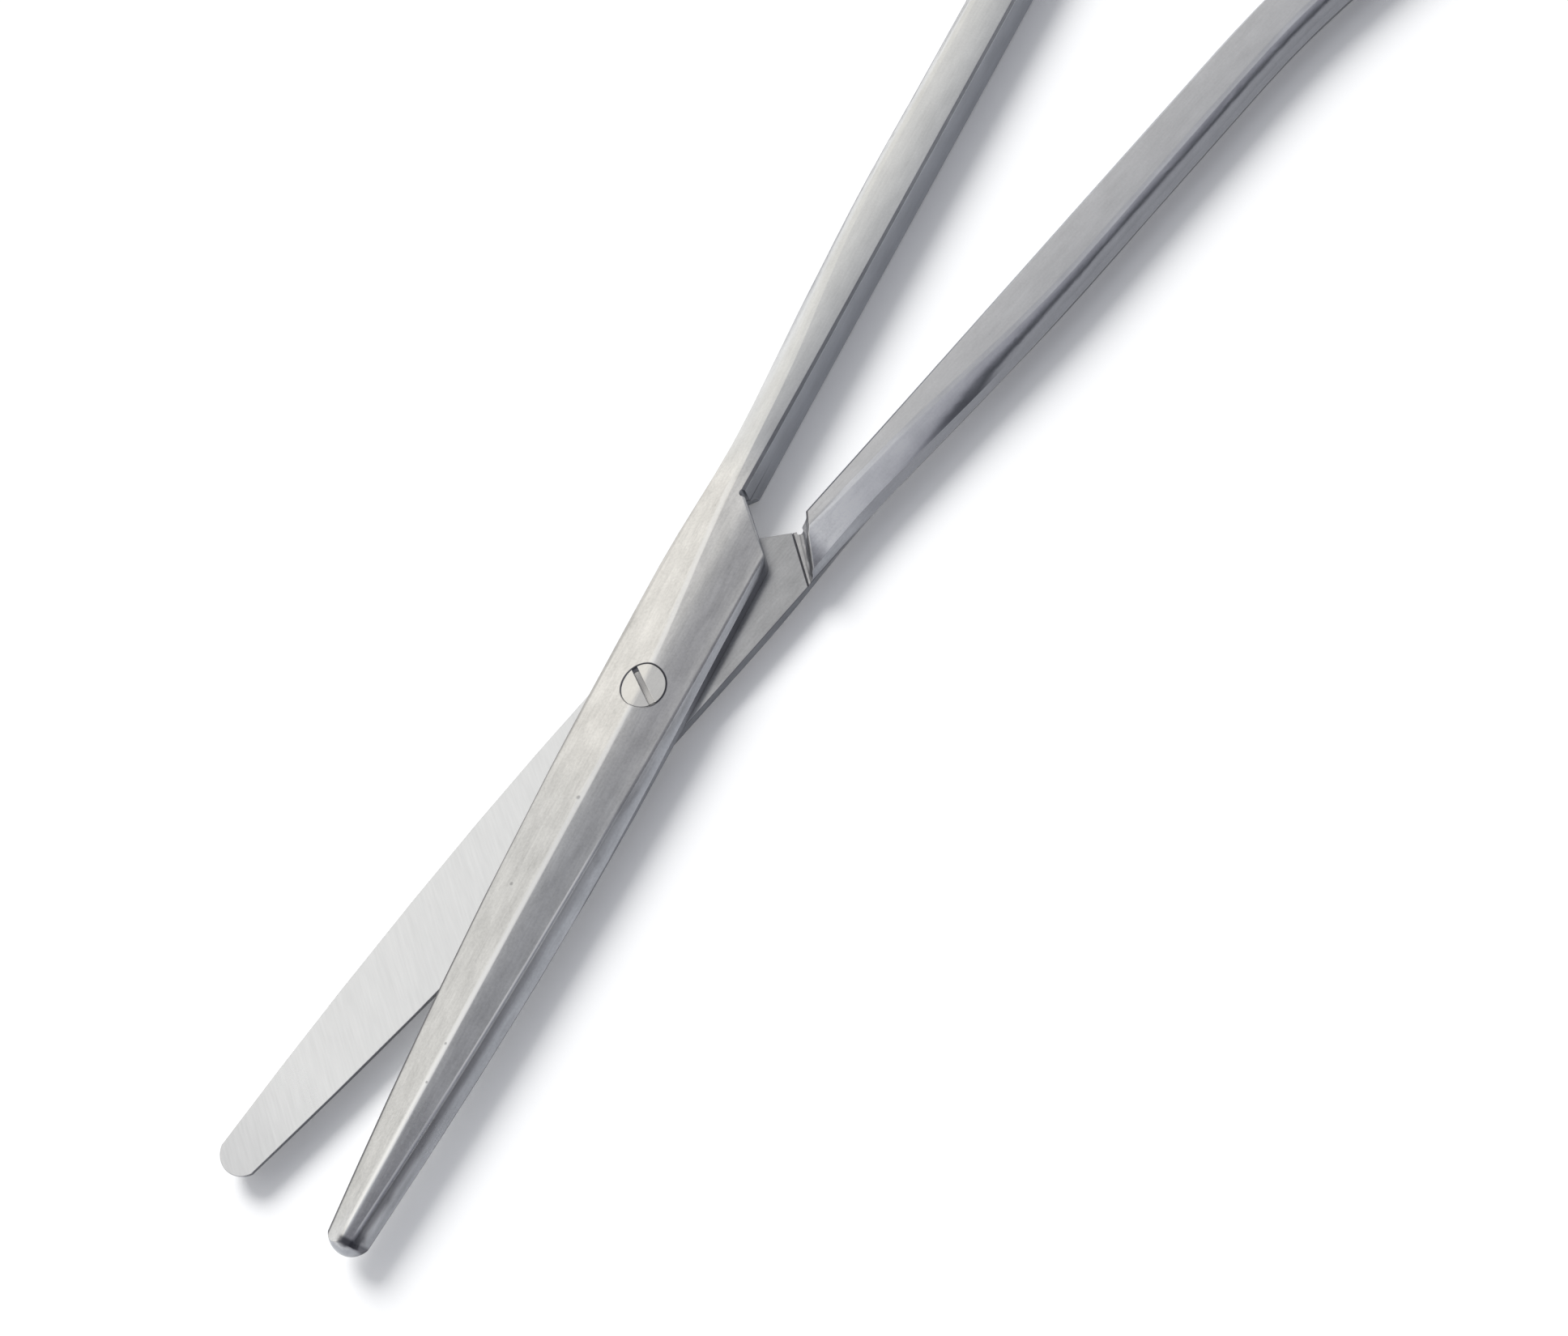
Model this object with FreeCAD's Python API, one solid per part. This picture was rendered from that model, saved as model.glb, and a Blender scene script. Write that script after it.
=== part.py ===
# Straight dissecting scissors: two crossed halves on one slotted pivot screw.
# Each half is one forging: a blade with bevelled facets and a blunt domed tip,
# a lap joint thinned to half the thickness, a slender shank and a finger ring.
# Millimetres. +X runs to the tips, +Z up, Z = 0 is the table, and the origin
# is on the pivot axis. A half is drawn closed, with Z = 0 on the plane where
# the halves meet, its shank on the -Y side and its blade's spine on the +Y side.
import FreeCAD, Part
import math
import os

vec = FreeCAD.Vector
origin = vec(0, 0, 0)
along_x = vec(1, 0, 0)
along_y = vec(0, 1, 0)
along_z = vec(0, 0, 1)

# How the scissors lie, in degrees
rest_opening = 14.0

# Lap joint
joint_thickness = 3.9
lap_clearance = 0.02
joint_edge_width = 3.92
joint_spine_width = 3.75
joint_facet_drop = 0.35
joint_side_height = 0.95
ear_corner_x = -12.7
ear_corner_radius = 1.6
ear_angle = 44.0
notch_radius = 0.28
groove_width = 0.16
groove_depth = 0.12
shoulder_x = -18.15
shoulder_angle = 45.0
shoulder_radius = 1.5
shoulder_outer_radius = 0.5
shoulder_overrun = 0.2
shoulder_chamfer = 0.2
ear_chamfer = 0.12

# Blade
blade_length = 46.0
heel_x = 5.0
tip_edge_width = 1.6
tip_spine_width = 1.48
tip_thickness = 1.55
tip_facet_drop = 0.28
tip_edge_height = 0.5
blade_spine_height = 0.15
blade_spine_round = 0.87
blade_spine_fullness = 0.2
ear_spine_round = 0.3
edge_lean = 0.18
edge_lean_end_x = 10.0
spine_round_end_x = 20.0
edge_taper = 1.75
spine_taper = 1.8
crown_taper = 1.15
nose_radius = 1.8
nose_flare = 0.3

# Ridges between the facets
ridge_lean = 0.1
ridge_end_x = -17.0
ridge_round = 0.2
second_ridge_round = 0.1

# Shank
shank_gap = 0.8
shank_width = 4.45
shank_thickness = 3.6
root_thickness = 3.8
shank_side_height = 0.55
shank_side_lean = 0.4
shank_side_round = 1.25
shank_facet_drop = 0.08
shank_full_x = -45.0
shank_crown_x = -34.0
shank_fullness = 0.6
shank_chamfer = 0.22
flare_radius = 92.0
root_spread = 4.6

# How far ahead of the ring's root the shank starts to bend, its flat inner
# face has run out, and it starts to widen, and the length of the widening
flare_length = 40.0
flat_end_length = 24.0
root_length = 15.0
spread_length = 7.5

# Finger ring
overall_length = 180.0
ring_opening_length = 26.0
ring_opening_width = 20.0
ring_band_width = 4.6
ring_gap = 0.6
ring_end_radius = 10.4

# Pivot screw
head_radius = 1.75
head_rim_height = 0.35
head_cone_height = 0.75
screw_radius = 1.0
pivot_clearance = 0.03
thread_clearance = 0.02
slot_width = 0.48
slot_depth = 0.6
slot_angle = 60.0

# Worked out from the above
half_thickness = joint_thickness / 2
shank_half = shank_thickness / 2
inner_face_y = -shank_gap / 2
shank_outer_y = inner_face_y - shank_width
ring_x = blade_length - overall_length + ring_band_width + ring_opening_length / 2
ring_y = -(ring_gap / 2 + ring_band_width + ring_opening_width / 2)
root_x = ring_x + ring_opening_length / 2 - ring_band_width
flare_start_x = root_x + flare_length
flat_end_x = root_x + flat_end_length
root_start_x = root_x + root_length
reach = 2 * overall_length
cut_margin = 0.01


def ease(x, x0, value0, x1, value1):
    # value0 up to x0, value1 from x1 on, and a smooth change between them
    t = min(max((x - x0) / (x1 - x0), 0), 1)
    return value0 + (value1 - value0) * t * t * (3 - 2 * t)


def along_blade(x):
    # 0 at the heel, 1 at the tip
    return max((x - heel_x) / (blade_length - heel_x), 0)


def flare(x):
    # how far the shank has bent outward, on an arc that starts at flare_start_x
    run = max(flare_start_x - x, 0)
    return flare_radius - math.sqrt(flare_radius ** 2 - run ** 2)


def spread(x):
    # how far each side of the shank widens into the ring
    run = min(max((root_start_x - x) / spread_length, 0), 1)
    return root_spread * run ** 2


def edge_y(x):
    # outer side of the shank and the joint, then the cutting edge
    shank = ease(x, shank_full_x, shank_outer_y, ridge_end_x, -joint_edge_width)
    blade = (joint_edge_width - tip_edge_width) * along_blade(x) ** edge_taper
    return shank + blade - flare(x) - spread(x)


def spine_y(x):
    # the blank is wider than the shank until the flat inner face has run out
    blade = (joint_spine_width - tip_spine_width) * along_blade(x) ** spine_taper
    blank = ease(x, flat_end_x, inner_face_y, shank_full_x, joint_spine_width)
    return blank - blade - flare(x) + spread(x)


def crown_height(x):
    # height of the main ridge over the meeting plane
    blade = (half_thickness - tip_thickness) * along_blade(x) ** crown_taper
    root = ease(x, root_start_x - spread_length, root_thickness / 2 - shank_half, root_start_x, 0)
    return ease(x, shank_crown_x, shank_half, ear_corner_x, half_thickness) - blade + root


def ridge_y(x):
    # the ridge follows the blade's axis, leans outward through the joint, and
    # runs into the rounded outer side of the shank
    on_joint = ridge_lean * min(max(x, ridge_end_x), 0)
    fading = ease(x, shank_full_x, 1, ridge_end_x, 0)
    return on_joint * (1 - fading) + (edge_y(x) + shank_side_round) * fading


def facet_drop(x):
    # how much lower the second ridge is than the main one
    shank = ease(x, shank_full_x, shank_facet_drop, ridge_end_x, joint_facet_drop)
    return shank + ease(x, 0, 0, blade_length, tip_facet_drop - joint_facet_drop)


def spine_round(x):
    # width of the rounding between the second ridge and the spine
    shank = ease(x, flat_end_x, shank_side_round - ear_spine_round, flare_start_x, 0)
    return shank + ease(x, ear_corner_x, ear_spine_round, spine_round_end_x, blade_spine_round)


def side_lean(x):
    # how steeply the outer side and the edge's upright leave the vertical
    blade = ease(x, 0, 0, edge_lean_end_x, edge_lean)
    return blade + ease(x, ridge_end_x, shank_side_lean, ear_corner_x, 0)


def edge_height(x):
    shank = ease(x, shank_full_x, shank_side_height, ridge_end_x, joint_side_height)
    return shank + ease(x, 0, 0, blade_length, tip_edge_height - joint_side_height)


def spine_height(x):
    shank = ease(x, flat_end_x, shank_side_height - joint_side_height, flare_start_x, 0)
    return shank + ease(x, -heel_x, joint_side_height, spine_round_end_x, blade_spine_height)


def point_towards(start, end, distance):
    return start + (end - start).normalize() * distance


def upper_outline(x):
    # corners of a section's upper half, from the cutting edge over to the spine
    edge_top = vec(x, edge_y(x) + side_lean(x) * edge_height(x), edge_height(x))
    ridge = vec(x, ridge_y(x), crown_height(x))
    second_y = spine_y(x) - spine_round(x)
    second_ridge = vec(x, second_y, crown_height(x) - facet_drop(x))
    spine_top = vec(x, spine_y(x), spine_height(x))
    return edge_top, ridge, second_ridge, spine_top


def line(start, end):
    return Part.makeLine(start, end)


def curve(start, control, end):
    bezier = Part.BezierCurve()
    bezier.setPoles([start, control, end])
    return bezier.toShape()


def upper_edges(x):
    # edges from the cutting edge's top to the spine's top, ridges rounded
    edge_top, ridge, second_ridge, spine_top = upper_outline(x)
    roundness = ease(x, shank_full_x, shank_fullness, ridge_end_x, 0)
    corner = vec(x, edge_top.y, ridge.z)
    side_control = (edge_top + ridge) * 0.5 * (1 - roundness) + corner * roundness
    before = point_towards(ridge, side_control, ridge_round)
    after = point_towards(ridge, second_ridge, ridge_round)
    crease = point_towards(second_ridge, ridge, second_ridge_round)
    fullness = ease(x, flat_end_x, shank_fullness, flare_start_x, blade_spine_fullness)
    spine_corner = vec(x, spine_top.y, second_ridge.z)
    spine_control = (second_ridge + spine_top) * 0.5 * (1 - fullness) + spine_corner * fullness
    fall = point_towards(second_ridge, spine_control, second_ridge_round)
    return [
        curve(edge_top, side_control, before),
        curve(before, ridge, after),
        line(after, crease),
        curve(crease, second_ridge, fall),
        curve(fall, spine_control, spine_top),
    ]


def mirrored(shape):
    # the same shape under the meeting plane
    return shape.mirror(origin, along_z)


def section(x):
    # a full-thickness section, symmetric about the meeting plane
    top = upper_edges(x)
    edge_top, ridge, second_ridge, spine_top = upper_outline(x)
    edge = vec(x, edge_y(x), 0)
    edge_bottom = vec(x, edge_top.y, -edge_top.z)
    spine_bottom = vec(x, spine_top.y, -spine_top.z)
    bottom = [mirrored(piece) for piece in reversed(top)]
    sides = [line(edge, edge_top)] + top + [line(spine_top, spine_bottom)]
    return Part.Wire(sides + bottom + [line(edge_bottom, edge)])


def spaced(start, end, count):
    return [start + (end - start) * i / count for i in range(count)]


def forged_bar():
    # the blank from the ring's root to past the tip, before the joint is cut
    stations = spaced(root_x, root_start_x, 4)
    stations += spaced(root_start_x, shank_full_x, 5)
    stations += spaced(shank_full_x, heel_x, 6)
    stations += spaced(heel_x, blade_length, 6) + [blade_length]
    return Part.makeLoft([section(x) for x in stations], True, False)


def nose_cutter():
    # everything outside the blunt round nose that ends the blade
    middle_y = (tip_spine_width - tip_edge_width) / 2
    centre = vec(blade_length - nose_radius, middle_y, 0)
    front = centre + along_x * nose_radius
    side = centre + along_y * nose_radius
    between = centre + (along_x + along_y).normalize() * nose_radius
    back = centre - along_x * nose_radius
    back_side = back + along_y * nose_radius * (1 + nose_flare)
    profile = Part.Wire([
        Part.Arc(side, between, front).toShape(),
        line(front, back),
        line(back, back_side),
        line(back_side, side),
    ])
    bullet = Part.Face(profile).revolve(centre, along_x, 360)
    size = 4 * joint_edge_width
    block = Part.makeBox(size, size, size, back - (along_y + along_z) * (size / 2))
    return block.cut(bullet)


def ear_slant():
    # direction of the ear's slanted back, and its two ends in plan
    turn = math.radians(ear_angle)
    direction = vec(math.cos(turn), math.sin(turn), 0)
    corner = vec(ear_corner_x, joint_spine_width + cut_margin, 0)
    end = corner - direction * ear_corner_radius * math.tan(turn / 2)
    rise = corner.y - inner_face_y
    notch = corner - direction * (rise / math.sin(turn))
    return direction, notch, end


def inner_side_cutter():
    # plan of what is ground away on the +Y side: the shank's flat inner face
    # and the slanted back of the ear, with the ear's corner rounded
    turn = math.radians(ear_angle)
    direction, notch, slant_end = ear_slant()
    corner_centre = slant_end + vec(direction.y, -direction.x, 0) * ear_corner_radius
    corner_end = corner_centre + vec(0, ear_corner_radius, 0)
    middle = corner_centre + vec(-math.sin(turn / 2), math.cos(turn / 2), 0) * ear_corner_radius
    straight_end = vec(flare_start_x, inner_face_y, 0)
    bend_x = (root_x + flare_start_x) / 2
    bend_middle = vec(bend_x, inner_face_y - flare(bend_x), 0)
    bend_end = vec(root_x, inner_face_y - flare(root_x), 0)
    clear_y = 4 * joint_spine_width
    outline = Part.Wire([
        Part.Arc(bend_end, bend_middle, straight_end).toShape(),
        line(straight_end, notch),
        line(notch, slant_end),
        Part.Arc(slant_end, middle, corner_end).toShape(),
        line(corner_end, vec(corner_end.x, clear_y, 0)),
        line(vec(corner_end.x, clear_y, 0), vec(root_x, clear_y, 0)),
        line(vec(root_x, clear_y, 0), bend_end),
    ])
    outline.translate(along_z * -joint_thickness)
    relief = Part.makeCylinder(notch_radius, 2 * joint_thickness, notch - along_z * joint_thickness)
    return Part.Face(outline).extrude(along_z * 2 * joint_thickness).fuse(relief)


def facet_height(x, y):
    # height of the facet on either side of the main ridge
    edge_top, ridge, second_ridge, spine_top = upper_outline(x)
    side = second_ridge if y > ridge.y else edge_top
    return ridge.z + (side.z - ridge.z) * (y - ridge.y) / (side.y - ridge.y)


def edge_cutter(places, outward, straight=False):
    # a long wedge that takes a narrow chamfer off the edge where an upright
    # face meets the facets; places are (x, y, chamfer)
    sections = []
    for x, y, size in places:
        edge = vec(x, y, facet_height(x, y))
        low = edge + (outward - along_z * 2) * size
        high = edge + (along_z - outward * 2) * size
        outside = edge + (along_z + outward) * size
        sections.append(Part.makePolygon([low, high, outside, low]))
    return Part.makeLoft(sections, True, straight)


def inner_edge_cutter():
    # along the shank's inner face, running out where that face runs out
    direction, notch, end = ear_slant()
    places = []
    for x in spaced(flat_end_x, notch.x, 12) + [notch.x]:
        size = ease(x, flat_end_x, cut_margin, flare_start_x, shank_chamfer)
        places.append((x, inner_face_y - flare(x), size))
    return edge_cutter(places, along_y)


def ear_edge_cutter():
    # along the ear's slanted back, running out at its rounded corner
    direction, notch, end = ear_slant()
    places = []
    for x in spaced(notch.x, end.x, 6) + [end.x]:
        y = notch.y + (x - notch.x) * direction.y / direction.x
        size = ease(x, end.x - ear_corner_radius, ear_chamfer, end.x, cut_margin)
        places.append((x, y, size))
    return edge_cutter(places, vec(-direction.y, direction.x, 0))


def shoulder_frame():
    # where the shoulder's wall meets the shank's inner face, at the height of
    # the lap face, and the directions away from the wall and along it
    turn = math.radians(shoulder_angle)
    corner = vec(shoulder_x, inner_face_y, lap_clearance / 2)
    forward = vec(math.sin(turn), math.cos(turn), 0)
    sideways = vec(math.cos(turn), -math.sin(turn), 0)
    return corner, forward, sideways


def along_wall(share):
    # a place on the wall's foot line, 0 at the inner face and 1 at the outer side
    corner, forward, sideways = shoulder_frame()
    length = (inner_face_y + joint_edge_width) / math.sin(math.radians(shoulder_angle))
    return corner + sideways * length * share


def shoulder_profile(share):
    # start of the concave ramp and the profile from the wall over the ramp to
    # the far side of a fine groove; the ramp narrows towards the outer side
    corner, forward, sideways = shoulder_frame()
    radius = shoulder_radius + (shoulder_outer_radius - shoulder_radius) * share
    lift = radius * math.sqrt(0.5)
    wall = along_wall(share)
    below = along_z * -joint_thickness
    ramp_start = wall + forward * radius
    ramp_end = wall - along_z * radius
    ramp_middle = ramp_start - along_z * radius - forward * lift + along_z * lift
    groove_top = ramp_start + forward * (groove_width / 2) + along_z * groove_depth
    foot = ramp_start + forward * groove_width
    profile = Part.Wire([
        Part.Arc(ramp_end, ramp_middle, ramp_start).toShape(),
        line(ramp_start, groove_top),
        line(groove_top, foot),
        line(foot, foot + below),
        line(foot + below, wall + below),
        line(wall + below, ramp_end),
    ])
    return ramp_start, profile


def lap_cutters():
    # the space of the other half: what is before the shoulder, and all that is
    # under the lap face
    near, near_profile = shoulder_profile(-shoulder_overrun)
    far, far_profile = shoulder_profile(1 + shoulder_overrun)
    ramp = Part.makeLoft([near_profile, far_profile], True, True)
    clear_y = 4 * joint_spine_width
    plan = Part.makePolygon([
        near,
        far,
        vec(reach, far.y, far.z),
        vec(reach, clear_y, far.z),
        vec(near.x, clear_y, far.z),
        near,
    ])
    return ramp, Part.Face(plan).extrude(along_z * -joint_thickness)


def shoulder_edge_cutter():
    # along the top of the shoulder's upright wall, on the lap's side
    corner, forward, sideways = shoulder_frame()
    places = []
    for share in spaced(-shoulder_overrun, 1 + 2 * shoulder_overrun, 8):
        spot = along_wall(share)
        places.append((spot.x, spot.y, shoulder_chamfer))
    return mirrored(edge_cutter(places, forward, True))


def ring_arcs():
    # centre, radius, start angle and sweep of the oval's four arcs
    half_length = (ring_opening_length + ring_band_width) / 2
    half_width = (ring_opening_width + ring_band_width) / 2
    end_offset = half_length - ring_end_radius
    side_radius = end_offset ** 2 + half_width ** 2 - ring_end_radius ** 2
    side_radius /= 2 * (half_width - ring_end_radius)
    side_offset = side_radius - half_width
    turn = math.degrees(math.atan2(side_offset, end_offset))
    centre = vec(ring_x, ring_y, 0)
    to_end = along_x * end_offset
    to_side = vec(0, side_offset, 0)
    return [
        (centre + to_end, ring_end_radius, -turn, 2 * turn),
        (centre - to_side, side_radius, turn, 180 - 2 * turn),
        (centre - to_end, ring_end_radius, 180 - turn, 2 * turn),
        (centre + to_side, side_radius, 180 + turn, 180 - 2 * turn),
    ]


def finger_ring():
    # an oval band, its section an ellipse as high as the joint is thick
    pieces = []
    for centre, radius, start, sweep in ring_arcs():
        band = Part.Ellipse(origin, ring_band_width / 2, half_thickness).toShape()
        band.rotate(origin, along_x, 90)
        band.translate(along_x * radius)
        piece = Part.Face(Part.Wire(band)).revolve(origin, along_z, sweep)
        piece.rotate(origin, along_z, start)
        piece.translate(centre)
        pieces.append(piece)
    return pieces[0].multiFuse(pieces[1:]).removeSplitter()


def ring_core():
    # the space within the middle line of the ring's band
    edges = []
    for centre, radius, start, sweep in ring_arcs():
        edges.append(Part.makeCircle(radius, centre, along_z, start, start + sweep))
    outline = Part.Wire(edges)
    outline.translate(along_z * -joint_thickness)
    return Part.Face(outline).extrude(along_z * 2 * joint_thickness)


def half_blank(bar):
    # one half with everything but its hole for the screw
    half = bar.cut([nose_cutter(), inner_side_cutter(), *lap_cutters()])
    inner_edge = inner_edge_cutter()
    half = half.cut([inner_edge, mirrored(inner_edge), ear_edge_cutter(), shoulder_edge_cutter()])
    return half.cut(ring_core()).fuse(finger_ring())


def placed(shape, half):
    # a closed half's shape set down on the table, opened to its rest angle;
    # the lower half is the upper one turned over about the long axis
    result = shape.copy()
    if half == "lower":
        result.rotate(origin, along_x, 180)
    turn = rest_opening / 2 if half == "upper" else -rest_opening / 2
    result.rotate(origin, along_z, turn)
    result.translate(along_z * half_thickness)
    return result


def screw_form(clearance):
    # countersunk head, shank and end, longer than the joint at both ends
    shank = screw_radius + clearance
    head = head_radius + clearance
    cone_top = half_thickness - head_rim_height
    cone_bottom = cone_top - head_cone_height
    profile = Part.makePolygon([
        vec(0, 0, -joint_thickness),
        vec(shank, 0, -joint_thickness),
        vec(shank, 0, cone_bottom),
        vec(head, 0, cone_top),
        vec(head, 0, joint_thickness),
        vec(0, 0, joint_thickness),
        vec(0, 0, -joint_thickness),
    ])
    form = Part.Face(profile).revolve(origin, along_z, 360)
    form.translate(along_z * half_thickness)
    return form


def pivot_screw(bar):
    # both ends are ground flush with the halves, so they carry the same facets
    side = 4 * head_radius
    above = Part.makeBox(side, side, side, vec(-side / 2, -side / 2, half_thickness))
    below = Part.makeBox(side, side, side, vec(-side / 2, -side / 2, half_thickness - side))
    top = screw_form(0).common(placed(bar, "upper")).common(above)
    bottom = screw_form(0).common(placed(bar, "lower")).common(below)
    slot = Part.makeBox(side, slot_width, slot_depth, vec(-side / 2, -slot_width / 2, 0))
    slot.rotate(origin, along_z, slot_angle)
    slot.translate(along_z * (joint_thickness - slot_depth))
    return top.fuse(bottom).removeSplitter().cut(slot)


def upper_half(blank):
    return placed(blank, "upper").cut(screw_form(pivot_clearance))


def lower_half(blank):
    hole = Part.makeCylinder(screw_radius + thread_clearance, joint_thickness)
    return placed(blank, "lower").cut(hole)


os.makedirs("parts", exist_ok=True)
bar = forged_bar()
blank = half_blank(bar)
pieces = {
    "upper_half": upper_half(blank),
    "lower_half": lower_half(blank),
    "pivot_screw": pivot_screw(bar),
}
for name, shape in pieces.items():
    shape.exportStep("parts/" + name + ".step")
    print(name, "solids", len(shape.Solids), "valid", shape.isValid(), "volume", round(shape.Volume, 2))
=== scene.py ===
import bmesh
import bpy
import math
from mathutils import Matrix, Vector


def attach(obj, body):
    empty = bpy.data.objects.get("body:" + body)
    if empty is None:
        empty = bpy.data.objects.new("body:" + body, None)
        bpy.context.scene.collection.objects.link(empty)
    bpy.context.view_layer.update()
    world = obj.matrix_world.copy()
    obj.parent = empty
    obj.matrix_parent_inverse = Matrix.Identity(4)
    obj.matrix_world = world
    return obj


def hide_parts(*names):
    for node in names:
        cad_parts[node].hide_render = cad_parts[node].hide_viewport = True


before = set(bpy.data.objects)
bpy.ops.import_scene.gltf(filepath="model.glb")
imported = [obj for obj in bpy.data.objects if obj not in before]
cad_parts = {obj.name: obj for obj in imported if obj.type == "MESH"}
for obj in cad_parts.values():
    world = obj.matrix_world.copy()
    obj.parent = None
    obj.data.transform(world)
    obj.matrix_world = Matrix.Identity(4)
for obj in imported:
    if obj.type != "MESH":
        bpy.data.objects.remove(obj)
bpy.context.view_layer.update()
print("frame loaded:", sorted(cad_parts))

mm = 0.001   # the scene is in metres; lengths in the dictionaries below are in millimetres


# a node's output, so that sums of nodes read like sums of numbers
class Field:
    def __init__(self, tree, socket):
        self.tree = tree
        self.socket = socket

    def __add__(self, other):
        return compute("ADD", self, other)

    def __sub__(self, other):
        return compute("SUBTRACT", self, other)

    def __rsub__(self, other):
        return compute("SUBTRACT", other, self)

    def __mul__(self, other):
        return compute("MULTIPLY", self, other)

    def __truediv__(self, other):
        return compute("DIVIDE", self, other)

    def __pow__(self, other):
        return compute("POWER", self, other)

    def __abs__(self):
        return compute("ABSOLUTE", self)

    # goes from low to high while the output goes from start to end
    def fade(self, start, end, low=0.0, high=1.0, kind="SMOOTHSTEP"):
        inputs = {"Value": self, "From Min": start, "From Max": end, "To Min": low, "To Max": high}
        return addNode(self.tree, "ShaderNodeMapRange", inputs, interpolation_type=kind)["Result"]

    def clamp(self, low, high):
        return least(most(self, low), high)


def put(socket, value):
    if isinstance(value, Field):
        value.tree.links.new(value.socket, socket)
    elif socket.type == "RGBA":
        socket.default_value = (*value, 1)
    else:
        socket.default_value = value


# a new node with its settings and inputs; an input's key is its name, or its number where names repeat
def addNode(tree, kind, inputs, **settings):
    node = tree.nodes.new(kind)
    for name, value in settings.items():
        setattr(node, name, value)
    for key, value in inputs.items():
        named = [socket for socket in node.inputs if socket.enabled and socket.name == key]
        put(named[0] if named else node.inputs[key], value)
    return {socket.name: Field(tree, socket) for socket in node.outputs if socket.enabled}


def compute(operation, *values):
    tree = [value.tree for value in values if isinstance(value, Field)][0]
    node = tree.nodes.new("ShaderNodeMath")
    node.operation = operation
    for socket, value in zip(node.inputs, values):
        put(socket, value)
    return Field(tree, node.outputs[0])


def most(first, *others):
    for other in others:
        first = compute("MAXIMUM", first, other)
    return first


def least(first, second):
    return compute("MINIMUM", first, second)


def length(across, along):
    return compute("SQRT", across * across + along * along)


def mixValue(share, first, second):
    return addNode(share.tree, "ShaderNodeMix", {"Factor": share, "A": first, "B": second})["Result"]


def mixColor(share, first, second):
    inputs = {"Factor": share, "A": first, "B": second}
    return addNode(share.tree, "ShaderNodeMix", inputs, data_type="RGBA")["Result"]


def dot(first, second):
    inputs = {0: first, 1: second}
    return addNode(first.tree, "ShaderNodeVectorMath", inputs, operation="DOT_PRODUCT")["Value"]


def scaleColor(tree, color, factor):
    return addNode(tree, "ShaderNodeVectorMath", {0: color, "Scale": factor}, operation="SCALE")["Vector"]


def stretch(vector, scale):
    return addNode(vector.tree, "ShaderNodeMapping", {"Vector": vector, "Scale": scale})["Vector"]


def turnAbout(vector, degrees):
    rotation = (0, 0, math.radians(degrees))
    return addNode(vector.tree, "ShaderNodeMapping", {"Vector": vector, "Rotation": rotation})["Vector"]


# noise around zero
def cloud(vector, scale=1.0, detail=2.0):
    inputs = {"Vector": vector, "Scale": scale, "Detail": detail}
    return addNode(vector.tree, "ShaderNodeTexNoise", inputs)["Fac"] - 0.5


def bump(height, normal):
    inputs = {"Strength": 1.0, "Distance": mm, "Height": height, "Normal": normal}
    return addNode(height.tree, "ShaderNodeBump", inputs)["Normal"]


def makeGroup(name, kind, inputs, outputs):
    tree = bpy.data.node_groups.new(name, kind)
    for side, sockets in (("INPUT", inputs), ("OUTPUT", outputs)):
        for title, socketKind in sockets.items():
            tree.interface.new_socket(name=title, in_out=side, socket_type="NodeSocket" + socketKind)
    given = addNode(tree, "NodeGroupInput", {})
    return tree, given, tree.nodes.new("NodeGroupOutput").inputs


def placeGroup(tree, group, inputs):
    return addNode(tree, "ShaderNodeGroup", inputs, node_tree=group)


def newMetal(name):
    material = bpy.data.materials.new(name)
    material.use_nodes = True
    shader = material.node_tree.nodes["Principled BSDF"].inputs
    put(shader["Metallic"], 1.0)
    return material, material.node_tree, shader


# satin grain: fine lines along the steel, a soft mottle and small pits, each with its scale per millimetre
satin = {
    "lines": (0.35, 6.0, 6.0), "mottle": (0.35, 0.9, 0.9), "pits": 5.0,
    "detail": 3.0,
    "lineShare": 0.6, "pitShare": 0.7,   # in the tone, where the mottle has 1
}


def makeSatinGrain():
    outputs = {"Height": "Float", "Tone": "Float"}
    tree, given, out = makeGroup("satinGrain", "ShaderNodeTree", {"Place": "Vector"}, outputs)
    lines = cloud(stretch(given["Place"], satin["lines"]), detail=satin["detail"])
    mottle = cloud(stretch(given["Place"], satin["mottle"]))
    pits = cloud(given["Place"], satin["pits"], satin["detail"])
    put(out["Height"], lines + pits)
    put(out["Tone"], mottle + pits * satin["pitShare"] + lines * satin["lineShare"])
    return tree


# fine and wide lines of a grinding wheel, across the steel and turned a little
wheel = {
    "turn": -28.0,   # degrees
    "fine": (5.0, 0.35, 1.0), "fineDetail": 3.0,
    "wide": (1.1, 0.12, 1.0), "wideDetail": 1.0, "wideShare": 0.5,
}


def makeWheelLines():
    outputs = {"Height": "Float", "Tone": "Float"}
    tree, given, out = makeGroup("wheelLines", "ShaderNodeTree", {"Place": "Vector"}, outputs)
    place = turnAbout(given["Place"], wheel["turn"])
    fine = cloud(stretch(place, wheel["fine"]), detail=wheel["fineDetail"])
    wide = cloud(stretch(place, wheel["wide"]), detail=wheel["wideDetail"])
    put(out["Height"], fine)
    put(out["Tone"], fine + wide * wheel["wideShare"])
    return tree


# edges: a normal that rolls over them, how near an outer edge is, and how deep in a corner the surface lies;
# from these the materials paint highlights along the edges, partly edge wear, and paint shade into the
# corners
edgeSheenAndShadeSizes = {
    "roll": 0.09, "reach": 0.5,                    # radius of the rolled edge, and how far a corner is felt
    "samples": 6,
    "bend": (0.004, 0.16),                         # between the rolled normal and the flat one
    "open": (0.6, 0.95), "closed": (0.85, 0.35),   # openness of an outer edge and of a corner
}


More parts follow.
